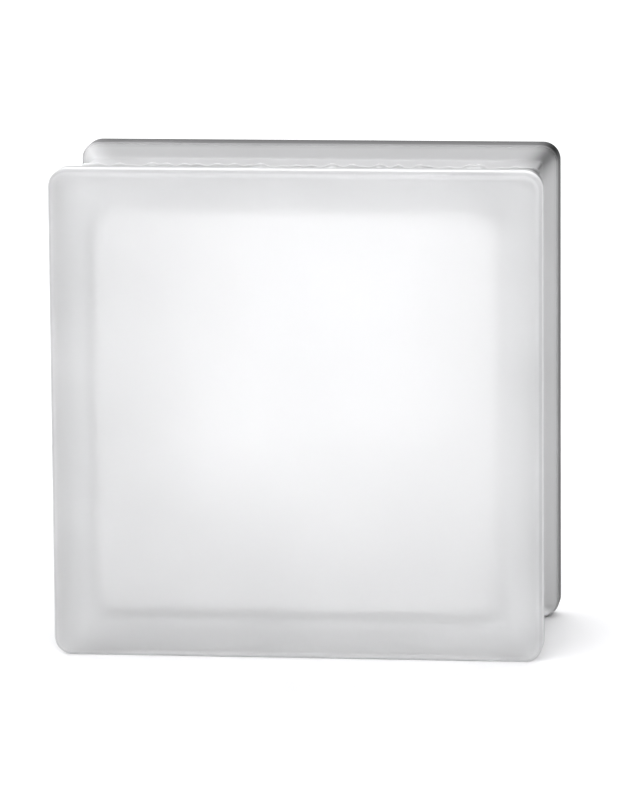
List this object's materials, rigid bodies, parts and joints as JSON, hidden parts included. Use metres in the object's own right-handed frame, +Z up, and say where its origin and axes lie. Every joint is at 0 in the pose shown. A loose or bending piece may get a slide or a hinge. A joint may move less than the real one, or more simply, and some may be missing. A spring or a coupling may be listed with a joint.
{
  "type": "glass block",
  "caption": "Square hollow glass building block with satin faces, rounded rims, a mortar channel round its edges and a sealed air space inside.",
  "frame": {"origin": "centre of the block's footprint, in the plane of its two lower rims", "axes": "+X along the width, +Y through the depth from the front face to the back face, +Z up"},
  "size_m": [0.19, 0.1, 0.19],
  "materials": {
    "satin_glass": "satin faces, clear pressed edges, faint green body tint"
  },
  "bodies": {
    "root": {"glass_block": "satin_glass"}
  },
  "joints": []
}
